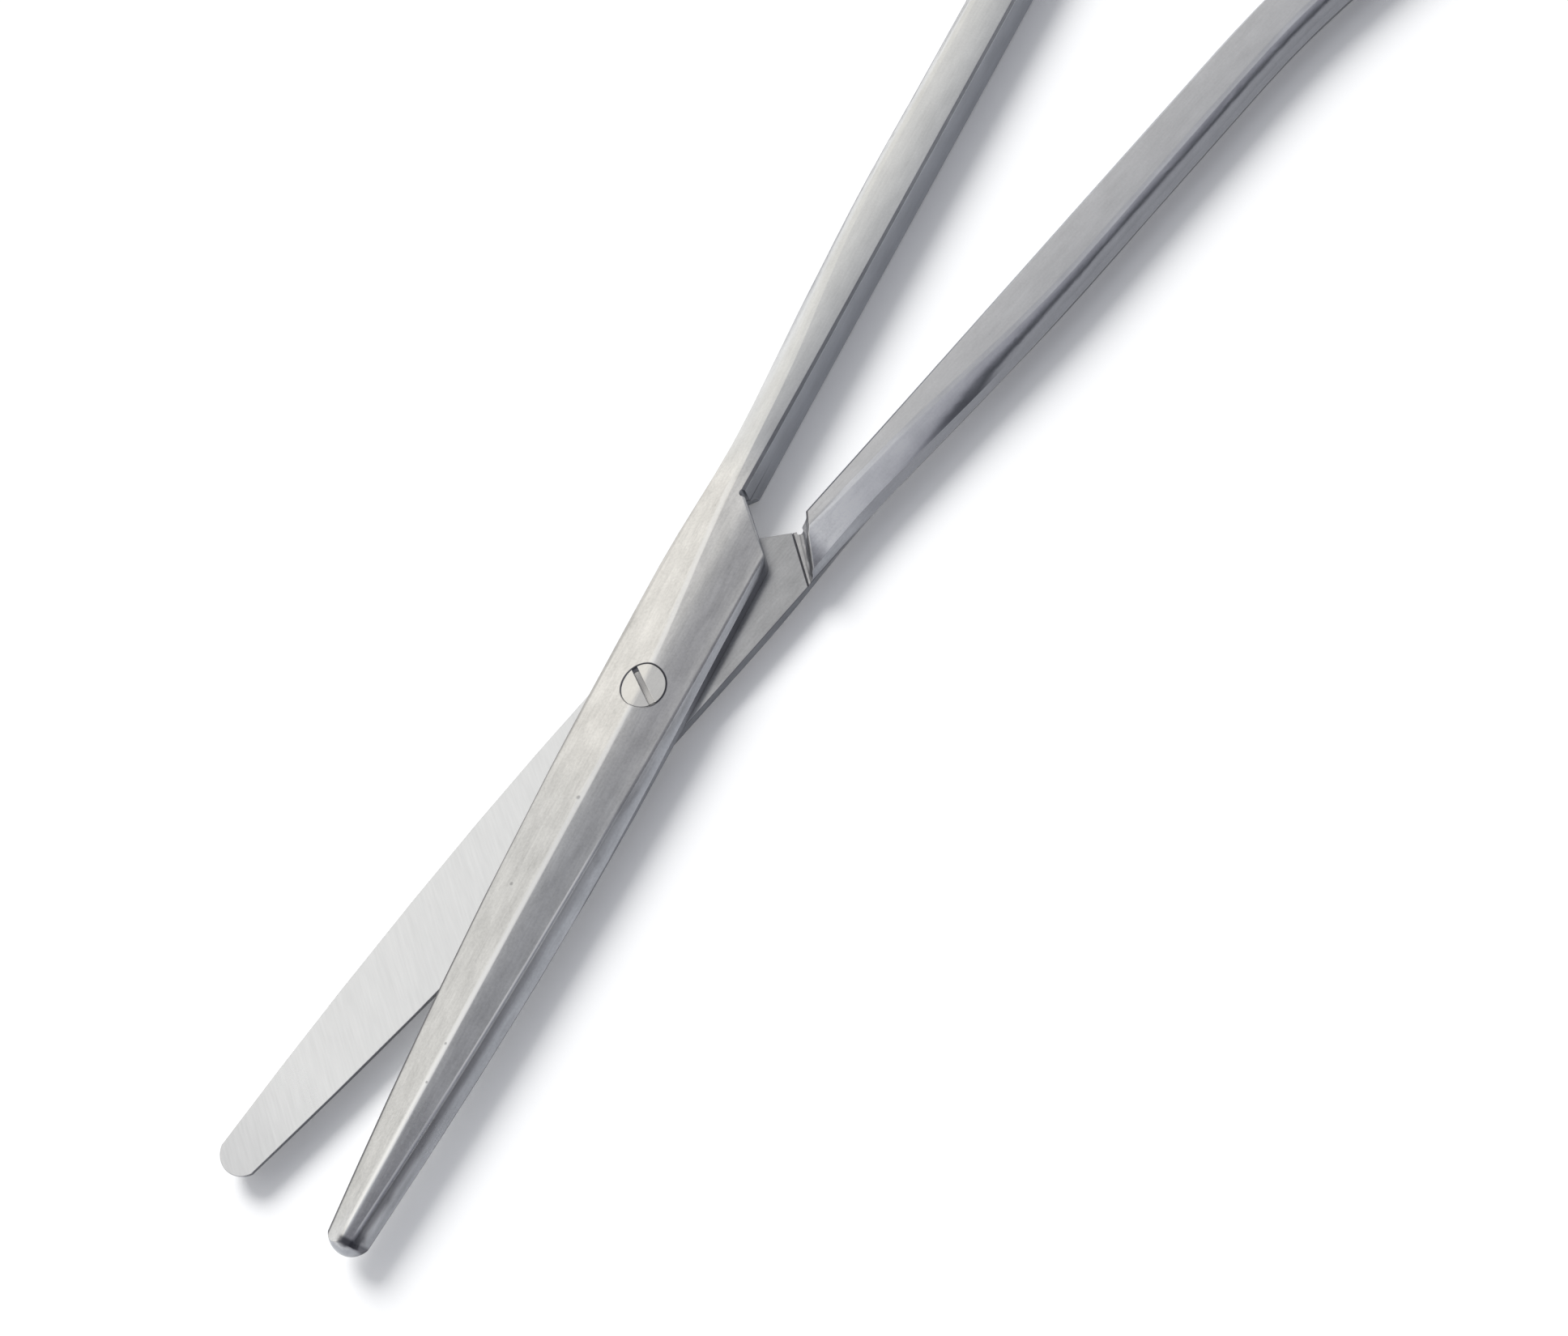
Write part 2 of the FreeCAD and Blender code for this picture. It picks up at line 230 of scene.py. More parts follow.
def makeEdgeSheenAndShade():
    outputs = {"Rolled": "Vector", "Edge": "Float", "Corner": "Float"}
    tree, given, out = makeGroup("edgeSheenAndShade", "ShaderNodeTree", {}, outputs)
    samples = edgeSheenAndShadeSizes["samples"]
    rolled = addNode(tree, "ShaderNodeBevel", {"Radius": edgeSheenAndShadeSizes["roll"] * mm}, samples=samples)["Normal"]
    reach = {"Distance": edgeSheenAndShadeSizes["reach"] * mm}
    openness = addNode(tree, "ShaderNodeAmbientOcclusion", reach, samples=samples, only_local=True)["AO"]
    bend = 1.0 - dot(rolled, addNode(tree, "ShaderNodeNewGeometry", {})["Normal"])
    put(out["Rolled"], rolled)
    put(out["Edge"], bend.fade(*edgeSheenAndShadeSizes["bend"]) * openness.fade(*edgeSheenAndShadeSizes["open"]))
    put(out["Corner"], openness.fade(*edgeSheenAndShadeSizes["closed"]))
    return tree


satinGrain = makeSatinGrain()
wheelLines = makeWheelLines()
edgeSheenAndShade = makeEdgeSheenAndShade()
# the edge masks feed painted highlights and painted corner shade
print("grain and edge wear made")

# turn: of the blade from the middle, in degrees; up: 1 where the bevels face up; dents: x, y and radius
halves = {
    "upper_half": {
        "turn": 7.0, "up": 1,
        "dents": [(17.45, -1.80, 0.20), (29.86, -0.10, 0.16), (32.87, 0.05, 0.14), (9.70, -0.20, 0.22)],
    },
    "lower_half": {"turn": -7.0, "up": -1, "dents": []},
}

forgedSteel = {
    # lines of a half in its own frame: x from the pivot along the blade, y from the cutting edge
    # to the spine, z outward from the plane where the halves meet
    "form": {
        "lapHeight": 1.95,
        "heel": 5.0, "tip": 46.0, "noseStart": 44.9,
        "ridgeEnd": -17.0, "ridgeSlope": 0.1,             # the ridge from the pivot back
        "cutEdge": -3.92, "cutEdgeNarrowing": 2.32, "cutEdgeTaper": 1.75,
        "spineRidge": 3.75, "spineNarrowing": 2.27, "spineTaper": 1.8,
        "spineInset": (-12.7, 20.0, 0.3, 0.87),           # x from and to, inset from and to
        "facetWidth": (3.8, 1.6),                         # at the heel and at the tip
        "shankMiddle": -2.62, "shankHalfWidth": 2.2,
        "seatRadius": 1.765,                              # of the screw's head in the half
    },
    # where one finish or painted shade passes into the next: by x, by depth or by how far the steel faces
    # outward
    "zones": {
        "lapFacing": (-0.90, -0.985), "lapDepth": (0.08, 0.03),
        "back": (0.0, -0.3),
        "wallFront": (0.85, 0.50),
        "wallBack": (-0.60, -0.90),                       # on the blade and on the shank
        "wallBlend": 0.3,                                 # from there on
        "backFacet": (-0.06, -0.24),                      # by how far it faces the cutting side
        "backFacetStart": (-15.5, -17.5),
        "outerWall": (0.3, -0.3),                         # across the shank, in half widths
        "shank": (-17.0, -22.0), "blade": (2.0, 14.0), "tip": (30.0, 45.0),
        "ground": (-5.0, 2.0), "groundTip": (36.0, 46.0),
    },
    # colours of the zones, some of them painted shade or painted brightening, then how much the grain shows
    # in them and how rough they are
    "look": {
        "joint": (0.77, 0.755, 0.73),
        "blade": (0.64, 0.637, 0.63),
        "shank": (0.72, 0.72, 0.71),
        "back": (0.58, 0.58, 0.59),
        # backFacet: painted brightening, against the dark room the facet mirrors
        "backFacet": (0.98, 0.98, 0.99),
        # lap: a duller finish, and painted shade from the other half lying on it
        "lap": (0.46, 0.46, 0.465),
        # wall, shankWall and outerWall: painted shade on the steep walls, darkest on the shank's outer wall
        "wall": (0.35, 0.36, 0.385),
        "shankWall": (0.45, 0.465, 0.495),
        "outerWall": (0.24, 0.245, 0.265),
        "ground": (0.95, 0.95, 0.94),
        # groundTip: painted shade, the ground face darker towards the tip where it turns away
        "groundTip": (0.80, 0.80, 0.80),
        # edge: painted highlight on the ridges and edges
        "edge": (0.93, 0.93, 0.93),
        # corner: painted shade, and the colour of the dents
        "corner": (0.10, 0.10, 0.115),
        "satinTone": (0.46, 0.26), "groundTone": 0.16,    # satinTone: on the blade and on the shank
        # edgeToRidge and ridgeToSpine: a painted highlight of the tip's rounded ridge
        "edgeToRidge": (0.80, 0.93),                      # brightness of the tip, from the edge to the ridge
        "ridgeToSpine": (0.0, 0.6, 1.15, 1.04),           # y from and to, brightness from and to
        "satinRoughness": 0.30, "groundRoughness": 0.34, "tipRoughness": 0.22, "toneRoughness": 0.06,
    },
    # painted highlights, painted shade and dents along lines on the steel: a pair is where a line is gone and
    # where it is full, and four values are a place from and to, then the strength from and to
    "lines": {
        "ridge": (0.36, 0.04), "ridgeStart": (-21.0, -15.0), "ridgeStrength": (5.0, 40.0, 0.55, 1.0),
        "spineRidge": (0.17, 0.04), "spineRidgeStart": (8.0, 16.0),
        "beforeNose": (45.0, 43.6),
        "bandNear": (0.06, 0.16), "bandFar": (0.62, 0.34), "bandStrength": (4.0, 40.0, 0.1, 0.85),
        "bandEnd": (-0.3, 0.1),
        "noseFar": (-0.55, -0.30), "noseNear": (0.25, -0.05), "noseSide": (-0.5, 0.0),
        "cutSide": (0.0, -0.6), "cutLine": (0.34, 0.18), "cutLineStrength": (-16.0, 30.0, 0.15, 1.0),
        "rim": (0.16, 0.03), "rimSide": (-0.5, 0.5, 1.0, 0.5),
        "ring": (0.13, 0.06), "ringFacing": (0.5, 0.8),
        "ringGap": (0.98, 0.55, 0.1, 1.0),                # by the cosine from the blade, where it is faint
        "edgeShare": 0.75, "groundEdgeShare": 0.6, "cornerShare": 0.8, "darkShare": 0.85,
        "dentCore": 0.3, "dentShare": 0.55,               # the core's share of the radius, and how dark it is
    },
    # forms too shallow for the mesh, which a bumped normal gives
    "shallow": {
        "hollowAlong": (0.0, 12.0), "hollow": (0.076, 0.046),   # half the fall over the facet, by its width
        "frontCrown": 0.22, "backCrown": 0.05,
        "lip": 0.036, "lipNear": (-0.17, 0.03), "lipFar": (0.75, 0.03),
        "grain": 0.0016, "wheelLine": 0.0010,             # heights
        "tipPolish": 0.8,                                 # how much of the grain the polish takes off the tip
        "shankCrisp": 0.75,                               # how much less the shank's edges are rolled
        "laidFlat": (-46.0, -20.0, 0.0, 0.55),            # x from and to, share from and to
    },
}


# the dark ring round the screw's head, on the half and on the screw: painted shade of the gap, faint on one
# side
def ringShade(x, fromAxis):
    return (x / fromAxis).fade(*forgedSteel["lines"]["ringGap"])


# the place and the facing in the half's own frame
def readPlace(tree, turn, up):
    coordinate = addNode(tree, "ShaderNodeTexCoord", {})
    rotation = (0, 0, -math.radians(turn * up))
    placing = {
        "Vector": coordinate["Object"],
        "Location": (0, 0, -forgedSteel["form"]["lapHeight"] * up),
        "Rotation": rotation,
        "Scale": (1 / mm, up / mm, up / mm),
    }
    facing = {"Vector": coordinate["Normal"], "Rotation": rotation, "Scale": (1, up, up)}
    place = addNode(tree, "ShaderNodeMapping", placing)["Vector"]
    spot = addNode(tree, "ShaderNodeSeparateXYZ", {"Vector": place})
    direction = addNode(tree, "ShaderNodeMapping", facing)["Vector"]
    lean = addNode(tree, "ShaderNodeSeparateXYZ", {"Vector": direction})
    return {"place": place, "x": spot["X"], "y": spot["Y"], "z": spot["Z"],
            "outward": lean["Z"], "sideways": lean["Y"]}


# the zones of the surface, each a mask
def findZones(at):
    x, outward = at["x"], at["outward"]
    zones = forgedSteel["zones"]
    shank = x.fade(*zones["shank"])
    back = outward.fade(*zones["back"])
    lap = outward.fade(*zones["lapFacing"]) * abs(at["z"]).fade(*zones["lapDepth"])
    wallBack = mixValue(shank, *zones["wallBack"])
    wall = outward.fade(*zones["wallFront"]) * outward.fade(wallBack, wallBack + zones["wallBlend"])
    backFacet = at["sideways"].fade(*zones["backFacet"]) * x.fade(*zones["backFacetStart"]) * back
    return {
        "shank": shank, "offShank": 1.0 - shank,
        "back": back, "front": 1.0 - back,
        "lap": lap, "offLap": 1.0 - lap,
        "ground": lap * x.fade(*zones["ground"]),
        "wall": wall, "backFacet": backFacet,
        "tip": x.fade(*zones["tip"]),
        "beforeNose": x.fade(*forgedSteel["lines"]["beforeNose"]),
    }


# how far the place is from the half's own lines
def findLines(at):
    x, y = at["x"], at["y"]
    form = forgedSteel["form"]
    along = x.fade(form["heel"], form["tip"], kind="LINEAR")
    cutEdge = along ** form["cutEdgeTaper"] * form["cutEdgeNarrowing"] + form["cutEdge"]
    spineRidge = form["spineRidge"] - along ** form["spineTaper"] * form["spineNarrowing"]
    spineRidge = spineRidge - x.fade(*form["spineInset"])
    ridge = x.clamp(form["ridgeEnd"], 0.0) * form["ridgeSlope"]
    return {
        "cutEdge": cutEdge,
        "pastCutEdge": y - cutEdge,
        "fromRidge": abs(y - ridge),
        "pastSpineRidge": y - spineRidge,
        "fromNose": form["noseStart"] - x,
        "acrossShank": (y - form["shankMiddle"]) / form["shankHalfWidth"],
        "fromAxis": length(x, y),
    }


# at is where the place is, on has the zones' masks and by the distances from the half's lines; the colour has
# painted shade and painted brightening mixed in
def finishWithPaintedShading(at, on, by, grain, ground):
    x, y = at["x"], at["y"]
    look, zones = forgedSteel["look"], forgedSteel["zones"]
    color = mixColor(x.fade(*zones["blade"]), look["joint"], look["blade"])
    color = mixColor(on["shank"], color, look["shank"])
    color = mixColor(on["back"], color, look["back"])
    # painted brightening of the shank's back facet
    color = mixColor(on["backFacet"], color, look["backFacet"])
    # the lap: its finish, darkened with painted shade from the other half
    color = mixColor(on["lap"], color, look["lap"])
    # the walls are painted darker, as shade
    shankWall = mixColor(by["acrossShank"].fade(*zones["outerWall"]), look["shankWall"], look["outerWall"])
    color = mixColor(on["wall"], color, mixColor(on["shank"], look["wall"], shankWall))
    # the ground face, with painted shade towards the tip
    groundColor = mixColor(x.fade(*zones["groundTip"]), look["ground"], look["groundTip"])
    color = mixColor(on["ground"], color, groundColor)
    satinTone = grain["Tone"] * mixValue(on["shank"], *look["satinTone"])
    bright = mixValue(on["ground"], satinTone, ground["Tone"] * look["groundTone"]) + 1.0
    # towards the tip both facets are painted brighter where they meet, a painted highlight of the rounded
    # ridge
    tipShade = y.fade(by["cutEdge"], 0.0, *look["edgeToRidge"]) * y.fade(*look["ridgeToSpine"])
    bright = bright * mixValue(on["tip"] * on["offLap"], 1.0, tipShade)
    return scaleColor(bright.tree, color, bright)


# painted highlights along the ridges, and along the outer edges away from the cutting side, which are partly
# worn too
def brightLines(at, on, by, edges, onCut):
    x = at["x"]
    paintedLines = forgedSteel["lines"]
    ridge = by["fromRidge"].fade(*paintedLines["ridge"]) * x.fade(*paintedLines["ridgeStart"])
    ridge = ridge * x.fade(*paintedLines["ridgeStrength"])
    spineRidge = abs(by["pastSpineRidge"]).fade(*paintedLines["spineRidge"]) * x.fade(*paintedLines["spineRidgeStart"])
    ridgeSheen = most(ridge, spineRidge) * on["beforeNose"] * on["front"]
    return most(edges["Edge"] * (1.0 - onCut) * paintedLines["edgeShare"], ridgeSheen)


# a painted reflection on the polished tip: a dark band beside the spine ridge, which runs round under the
# nose
def tipBand(at, on, by):
    x, past, fromNose = at["x"], by["pastSpineRidge"], by["fromNose"]
    paintedLines = forgedSteel["lines"]
    beside = past.fade(*paintedLines["bandNear"]) * past.fade(*paintedLines["bandFar"]) * x.fade(*paintedLines["bandStrength"])
    under = fromNose.fade(*paintedLines["noseFar"]) * fromNose.fade(*paintedLines["noseNear"])
    under = under * at["y"].fade(*paintedLines["noseSide"])
    return most(beside * fromNose.fade(*paintedLines["bandEnd"]), under) * on["front"] * on["offShank"]


# painted shade in corners, along the rim at the lap, along the cutting edge and in the ring round the screw,
# the tip's painted band, and the dents
def darkLines(at, on, by, edges, onCut, dents):
    x, y = at["x"], at["y"]
    paintedLines = forgedSteel["lines"]
    # painted shade along the rim at the lap, on the cutting side's edges and on the ground face's edges
    rim = abs(at["z"]).fade(*paintedLines["rim"]) * on["offLap"] * on["offShank"] * y.fade(*paintedLines["rimSide"])
    cutLine = by["pastCutEdge"].fade(*paintedLines["cutLine"]) * x.fade(*paintedLines["cutLineStrength"])
    rim = most(rim, edges["Edge"] * onCut, edges["Edge"] * on["ground"] * paintedLines["groundEdgeShare"])
    rim = most(rim, cutLine * on["front"] * on["offShank"])
    for dentX, dentY, radius in dents:
        dent = length(x - dentX, y - dentY).fade(radius, radius * paintedLines["dentCore"], 0.0, paintedLines["dentShare"])
        rim = most(rim, dent * on["front"])
    # painted shade in the gap round the screw's seat
    ring = abs(by["fromAxis"] - forgedSteel["form"]["seatRadius"]).fade(*paintedLines["ring"])
    ring = ring * at["outward"].fade(*paintedLines["ringFacing"]) * ringShade(x, by["fromAxis"])
    line = most(rim, tipBand(at, on, by)) * paintedLines["darkShare"]
    return most(edges["Corner"] * paintedLines["cornerShare"], line, ring)


# height in millimetres of the hollow facet, the crowned shank, the lip beside the spine ridge and the grain
def shallowHeight(at, on, by, grain, ground):
    x = at["x"]
    form, shallow = forgedSteel["form"], forgedSteel["shallow"]
    width = x.fade(form["heel"], form["tip"], *form["facetWidth"], kind="LINEAR")
    across = (at["y"] / width).clamp(0.0, 1.0)
    hollow = (compute("COSINE", across * math.pi) - 1.0) * width
    hollow = hollow * x.fade(*shallow["hollowAlong"], *shallow["hollow"]) * on["front"]
    fromMiddle = by["acrossShank"]
    fromSide = fromMiddle - 1.0
    frontCrown = fromMiddle * fromMiddle * -shallow["frontCrown"]
    crown = mixValue(on["back"], frontCrown, fromSide * fromSide * -shallow["backCrown"])
    past = by["pastSpineRidge"]
    lip = past.fade(*shallow["lipNear"]) * past.fade(*shallow["lipFar"]) * shallow["lip"]
    lip = lip * x.fade(*forgedSteel["lines"]["spineRidgeStart"]) * on["beforeNose"] * on["front"]
    fine = mixValue(on["ground"], grain["Height"] * shallow["grain"], ground["Height"] * shallow["wheelLine"])
    return mixValue(on["shank"], hollow, crown) + lip + fine * (1.0 - on["tip"] * shallow["tipPolish"])


def makeForgedSteel(name, half):
    material, tree, shader = newMetal(name)
    at = readPlace(tree, half["turn"], half["up"])
    on = findZones(at)
    by = findLines(at)
    grain = placeGroup(tree, satinGrain, {"Place": at["place"]})
    ground = placeGroup(tree, wheelLines, {"Place": at["place"]})
    edges = placeGroup(tree, edgeSheenAndShade, {})
    middle = on["shank"] * forgedSteel["form"]["shankMiddle"]
    onCut = (at["y"] - middle).fade(*forgedSteel["lines"]["cutSide"]) * on["front"]

    look = forgedSteel["look"]
    color = finishWithPaintedShading(at, on, by, grain, ground)
    # painted highlights, then painted shade and the dents
    color = mixColor(brightLines(at, on, by, edges, onCut), color, look["edge"])
    color = mixColor(darkLines(at, on, by, edges, onCut, half["dents"]), color, look["corner"])
    put(shader["Base Color"], color)

    rough = mixValue(on["ground"], look["satinRoughness"], look["groundRoughness"])
    rough = mixValue(on["tip"], rough, look["tipRoughness"])
    put(shader["Roughness"], rough + grain["Tone"] * look["toneRoughness"])

    flat = addNode(tree, "ShaderNodeNewGeometry", {})["Normal"]
    shallow = forgedSteel["shallow"]
    normal = mixColor(on["shank"] * shallow["shankCrisp"], edges["Rolled"], flat)
    # the outer facet of the shank's back lies flatter where it runs into the joint
    laidFlat = on["backFacet"] * at["x"].fade(*shallow["laidFlat"]) * (1.0 - on["wall"])
    normal = mixColor(laidFlat, normal, (0, 0, -half["up"]))
    put(shader["Normal"], bump(shallowHeight(at, on, by, grain, ground), normal))
    return material


screwSteel = {
    "color": (0.78, 0.765, 0.735),
    # edge: painted highlight; slot and rim: painted shade in the slot and in the gap round the head
    "edge": (0.9, 0.9, 0.9),
    "slot": (0.16, 0.16, 0.17),
    "rim": (0.08, 0.08, 0.09),
    "headRadius": 1.75, "rimWidth": 0.07,
    # slotShade: painted shade, darker at one end of the slot
    "slotShade": (-0.3, 0.9, 1.0, 0.3),   # along the slot: y from and to, darkness from and to
    "edgeShare": 0.5, "tone": 0.2,
    "roughness": 0.3, "toneRoughness": 0.06,
}


def makeScrewSteel():
    material, tree, shader = newMetal("screwSteel")
    look = screwSteel
    place = stretch(addNode(tree, "ShaderNodeTexCoord", {})["Object"], (1 / mm, 1 / mm, 1 / mm))
    spot = addNode(tree, "ShaderNodeSeparateXYZ", {"Vector": place})
    grain = placeGroup(tree, satinGrain, {"Place": place})
    edges = placeGroup(tree, edgeSheenAndShade, {})
    color = scaleColor(tree, look["color"], grain["Tone"] * look["tone"] + 1.0)
    # painted highlights on the edges, painted shade in the slot and round the head
    color = mixColor(edges["Edge"] * look["edgeShare"], color, look["edge"])
    color = mixColor(edges["Corner"] * spot["Y"].fade(*look["slotShade"]), color, look["slot"])
    fromAxis = length(spot["X"], spot["Y"])
    rim = fromAxis.fade(look["headRadius"] - look["rimWidth"], look["headRadius"])
    color = mixColor(rim * ringShade(spot["X"], fromAxis), color, look["rim"])
    put(shader["Base Color"], color)
    put(shader["Roughness"], grain["Tone"] * look["toneRoughness"] + look["roughness"])
    put(shader["Normal"], bump(grain["Height"] * forgedSteel["shallow"]["grain"], edges["Rolled"]))
    return material


# the screw's thread, which stands in the lower half
screwThread = {
    "rootRadius": 0.86, "crestRadius": 1.0, "pitch": 0.35,
    "top": 1.96, "shankEnd": 1.90,     # the smooth shank under the head ends just inside the thread
    "leftSlope": 0.255, "rightSlope": 0.10, "endInset": 0.01,   # of the ground end, beside the ridge
    "crestFlat": 1.25,                 # over 1: the thread's crest is cut flat
    "leadRows": 4.0,                   # the thread runs in over so many rows
    "around": 72, "rows": 62,
    "weld": 1e-7,                      # metres
    "sharp": 12.0,                     # degrees from which an edge is shaded sharp
}


def makeThreadTree():
    inputs = {
        "Root Radius": "Float", "Crest Radius": "Float", "Pitch": "Float", "Top": "Float",
        "Left Slope": "Float", "Right Slope": "Float", "Ridge Turn": "Float", "End Inset": "Float",
        "Crest Flat": "Float", "Lead Rows": "Float", "Around": "Int", "Rows": "Int", "Steel": "Material",
    }
    tree, given, out = makeGroup("screwThread", "GeometryNodeTree", inputs, {"Thread": "Geometry"})
    size = {"Vertices X": given["Around"] + 1.0, "Vertices Y": given["Rows"]}
    grid = addNode(tree, "GeometryNodeMeshGrid", size)["Mesh"]
    position = addNode(tree, "GeometryNodeInputPosition", {})["Position"]
    spot = addNode(tree, "ShaderNodeSeparateXYZ", {"Vector": position})
    turn = spot["X"] + 0.5
    last = given["Rows"] - 1.0
    row = compute("ROUND", (spot["Y"] + 0.5) * last)

    # the first and the last row close the ends in the middle
    fromEnd = least(row, last - row)
    inside = least(fromEnd, 1.0)
    share = ((row - 1.0) / (last - 2.0)).clamp(0.0, 1.0)
    angle = turn * math.tau
    level = share * given["Top"]
    phase = compute("FRACT", level / given["Pitch"] - turn)
    flank = least((1.0 - abs(phase * 2.0 - 1.0)) * given["Crest Flat"], 1.0)
    lead = least(fromEnd / given["Lead Rows"], 1.0)
    radius = (flank * lead * (given["Crest Radius"] - given["Root Radius"]) + given["Root Radius"]) * inside

    # the end is ground to the facets on either side of the ridge
    across = radius * compute("SINE", angle - given["Ridge Turn"])
    end = most(across * given["Left Slope"], across * given["Right Slope"] * -1.0) + given["End Inset"]
    place = {
        "X": radius * compute("COSINE", angle) * mm,
        "Y": radius * compute("SINE", angle) * mm,
        "Z": (end * (1.0 - share) + level) * mm,
    }
    shape = {"Geometry": grid, "Position": addNode(tree, "ShaderNodeCombineXYZ", place)["Vector"]}
    thread = addNode(tree, "GeometryNodeSetPosition", shape)["Geometry"]
    weld = {"Geometry": thread, "Distance": screwThread["weld"]}
    thread = addNode(tree, "GeometryNodeMergeByDistance", weld)["Geometry"]
    thread = addNode(tree, "GeometryNodeRealizeInstances", {"Geometry": thread})["Geometry"]
    finish = {"Geometry": thread, "Material": given["Steel"]}
    put(out["Thread"], addNode(tree, "GeometryNodeSetMaterial", finish)["Geometry"])
    return tree


def makeThread(steel):
    size = screwThread
    maker = bpy.data.objects.new("threadMaker", bpy.data.meshes.new("threadMaker"))
    bpy.context.scene.collection.objects.link(maker)
    modifier = maker.modifiers.new("thread", "NODES")
    modifier.node_group = makeThreadTree()
    values = {
        "Root Radius": size["rootRadius"], "Crest Radius": size["crestRadius"],
        "Pitch": size["pitch"], "Top": size["top"],
        "Left Slope": size["leftSlope"], "Right Slope": size["rightSlope"],
        "Ridge Turn": math.radians(halves["lower_half"]["turn"]), "End Inset": size["endInset"],
        "Crest Flat": size["crestFlat"], "Lead Rows": size["leadRows"],
        "Around": size["around"], "Rows": size["rows"], "Steel": steel,
    }
    for item in modifier.node_group.interface.items_tree:
        if item.in_out == "INPUT":
            modifier[item.identifier] = values[item.name]
    thread = bpy.data.meshes.new_from_object(maker.evaluated_get(bpy.context.evaluated_depsgraph_get()))
    bpy.data.objects.remove(maker)
    return thread


# the head is the frame's own, with its shank cut off where the thread starts
def makeThreadedScrew(steel):
    thread = makeThread(steel)
    form = bmesh.new()
    form.from_mesh(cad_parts["pivot_screw"].data)
    bmesh.ops.remove_doubles(form, verts=form.verts, dist=screwThread["weld"])
    shankEnd = screwThread["shankEnd"] * mm
    for corner in form.verts:
        corner.co.z = max(corner.co.z, shankEnd)
    bmesh.ops.dissolve_degenerate(form, edges=form.edges, dist=screwThread["weld"] / 10)
    form.from_mesh(thread)
    bmesh.ops.recalc_face_normals(form, faces=form.faces)
    mesh = bpy.data.meshes.new("threadedScrew")
    form.to_mesh(mesh)
    form.free()
    mesh.materials.clear()
    mesh.materials.append(steel)
    mesh.shade_smooth()
    mesh.set_sharp_from_angle(angle=math.radians(screwThread["sharp"]))
    screw = bpy.data.objects.new("threadedScrew", mesh)
    bpy.context.scene.collection.objects.link(screw)
    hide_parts("pivot_screw")
    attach(screw, "lower_blade")
    print("screw cut:", len(mesh.polygons), "faces")


for name, half in halves.items():
    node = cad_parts[name]
    node.data.materials.clear()
    node.data.materials.append(makeForgedSteel(name + "Steel", half))
print("halves finished")
makeThreadedScrew(makeScrewSteel())

cameraView = {
    "lens": 58.57, "sensorWidth": 36.0,
    "place": (35.4, 79.2, 172.3), "target": (-7.4, 6.95, 0.0),
    "roll": -27.2,
    "clip": (0.005, 300.0),   # metres
}


def makeCamera():
    data = bpy.data.cameras.new("camera")
    data.lens = cameraView["lens"]
    data.sensor_width = cameraView["sensorWidth"]
    data.clip_start, data.clip_end = cameraView["clip"]
    camera = bpy.data.objects.new("camera", data)
    bpy.context.scene.collection.objects.link(camera)
    place = Vector(cameraView["place"]) * mm
    look = (Vector(cameraView["target"]) * mm - place).to_track_quat("-Z", "Y")
    roll = Matrix.Rotation(math.radians(cameraView["roll"]), 4, "Z")
    camera.matrix_world = Matrix.Translation(place) @ look.to_matrix().to_4x4() @ roll
    bpy.context.scene.camera = camera


# the window's soft light, which throws the shadows; what the steel mirrors is the room below
windowLight = {
    "from": (-0.306, -0.673, 0.673),
    "strength": 2.78,
    "spread": 31.0,           # degrees
    "color": (1.0, 0.985, 0.96),
}


def makeWindowLight():
    data = bpy.data.lights.new("windowLight", "SUN")
    data.energy = windowLight["strength"]
    data.angle = math.radians(windowLight["spread"])
    data.color = windowLight["color"]
    light = bpy.data.objects.new("windowLight", data)
    bpy.context.scene.collection.objects.link(light)
    light.visible_glossy = False
    light.matrix_world = (-Vector(windowLight["from"])).to_track_quat("-Z", "Y").to_matrix().to_4x4()


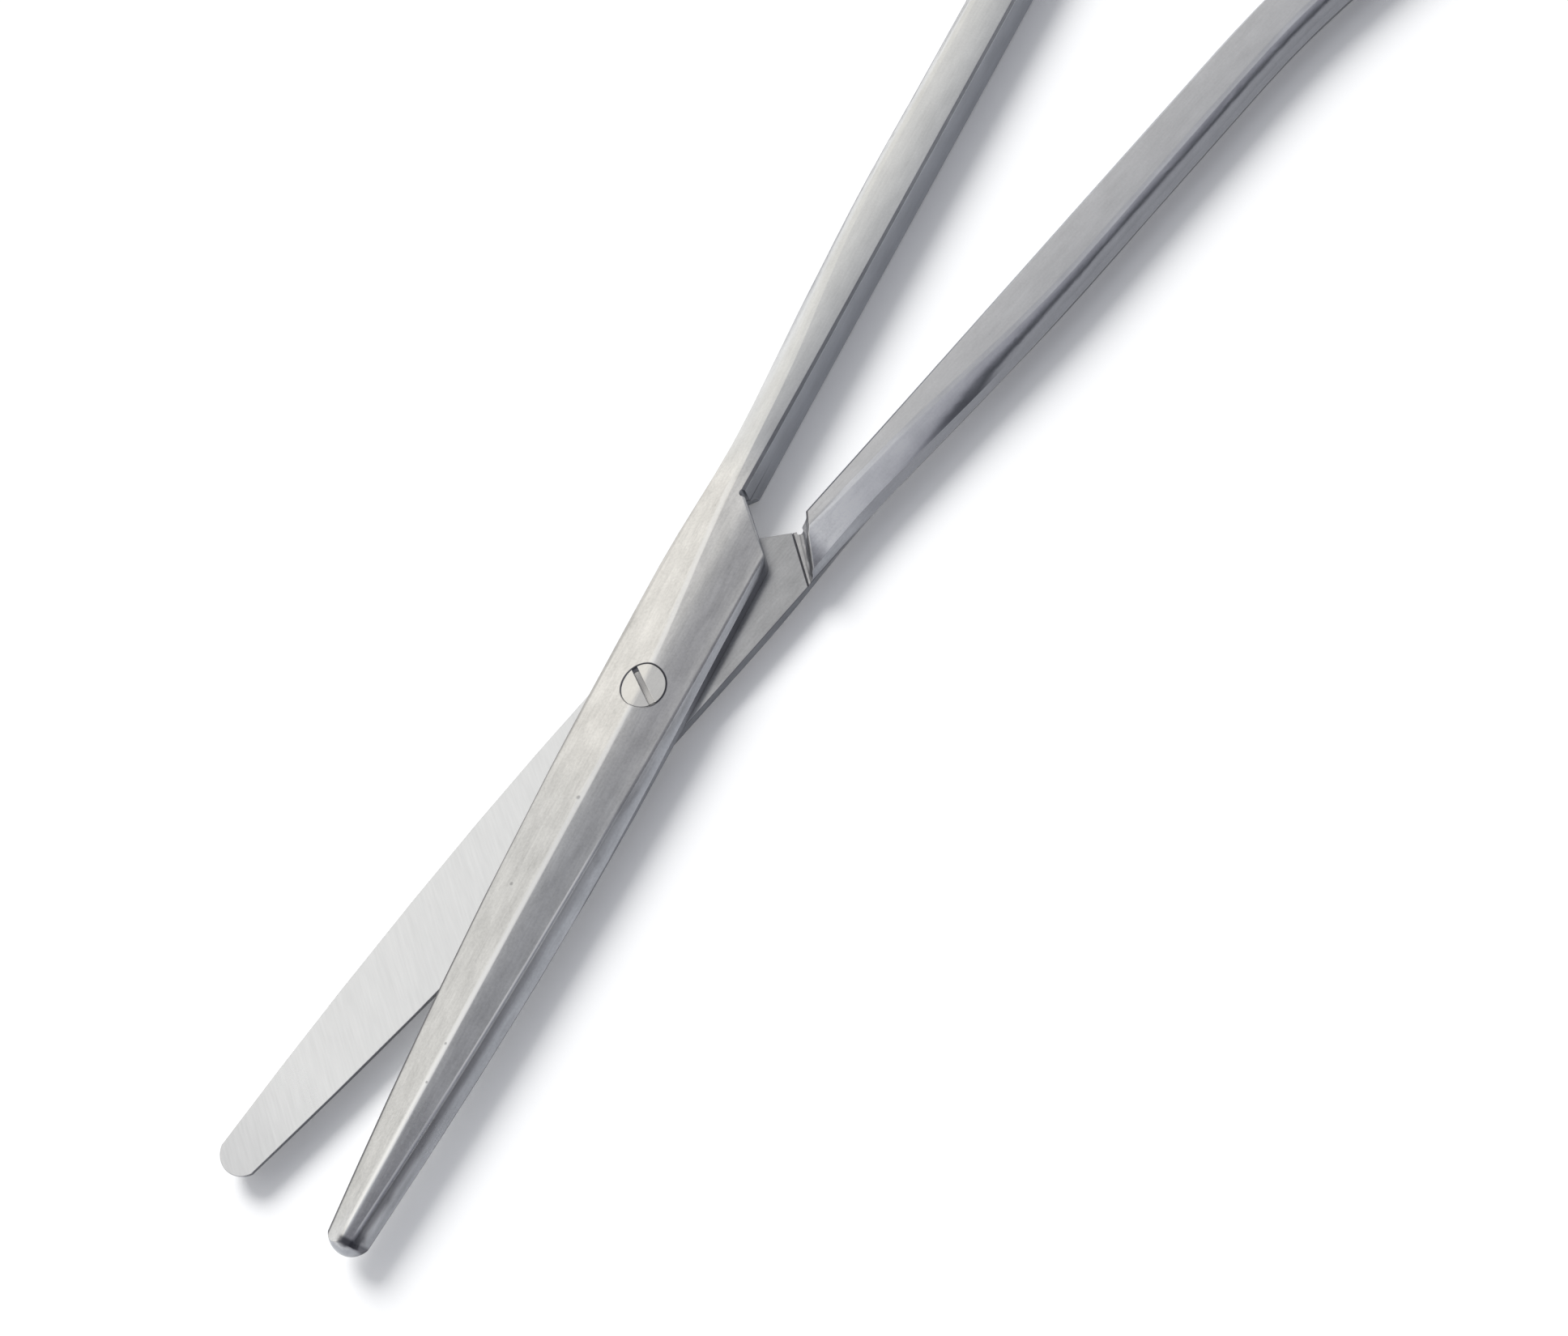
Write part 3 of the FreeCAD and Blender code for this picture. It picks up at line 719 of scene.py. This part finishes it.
# the room round the table: its colours, by how far a direction leans to the window
room = {
    "window": (-0.15, -0.99, 0.0),
    "colors": {
        -0.85: (0.13, 0.135, 0.16),
        -0.45: (0.27, 0.275, 0.31),
        0.00: (0.42, 0.43, 0.46),
        0.25: (0.60, 0.61, 0.63),
        0.45: (0.84, 0.84, 0.84),
        0.75: (0.97, 0.96, 0.93),
    },
}


def makeRoom():
    world = bpy.data.worlds.new("room")
    bpy.context.scene.world = world
    world.use_nodes = True
    tree = world.node_tree
    direction = addNode(tree, "ShaderNodeTexCoord", {})["Generated"]
    lean = dot(direction, Vector(room["window"]).normalized())
    ramp = tree.nodes.new("ShaderNodeValToRGB")
    ramp.color_ramp.interpolation = "EASE"
    stops = ramp.color_ramp.elements
    while len(stops) < len(room["colors"]):
        stops.new(1.0)
    for stop, (place, color) in zip(stops, room["colors"].items()):
        stop.position = place / 2 + 0.5   # the ramp goes from 0 to 1, the lean from -1 to 1
        stop.color = (*color, 1)
    put(ramp.inputs["Fac"], lean.fade(-1.0, 1.0, kind="LINEAR"))
    put(tree.nodes["Background"].inputs["Color"], Field(tree, ramp.outputs["Color"]))


floorSheet = {
    "size": 200.0,            # metres
    "color": (0.86, 0.87, 0.885),
    "glow": (1.0, 1.0, 1.0),
    "lift": 0.12,             # of the glow, for what the camera sees and the steel mirrors
}


def makeFloor():
    mesh = bpy.data.meshes.new("floor")
    half = floorSheet["size"] / 2
    corners = [(-half, -half, 0), (half, -half, 0), (half, half, 0), (-half, half, 0)]
    mesh.from_pydata(corners, [], [(0, 1, 2, 3)])
    floor = bpy.data.objects.new("floor", mesh)
    bpy.context.scene.collection.objects.link(floor)
    material = bpy.data.materials.new("paleFloor")
    material.use_nodes = True
    tree = material.node_tree
    shader = tree.nodes["Principled BSDF"].inputs
    put(shader["Base Color"], floorSheet["color"])
    put(shader["Roughness"], 1.0)
    put(shader["Specular IOR Level"], 0.0)
    put(shader["Emission Color"], floorSheet["glow"])
    path = addNode(tree, "ShaderNodeLightPath", {})
    seen = most(path["Is Camera Ray"], path["Is Glossy Ray"], path["Is Transmission Ray"])
    put(shader["Emission Strength"], seen * floorSheet["lift"])
    mesh.materials.append(material)


makeCamera()
makeWindowLight()
makeRoom()
makeFloor()
bpy.context.scene.view_settings.view_transform = "Standard"
print("studio made")
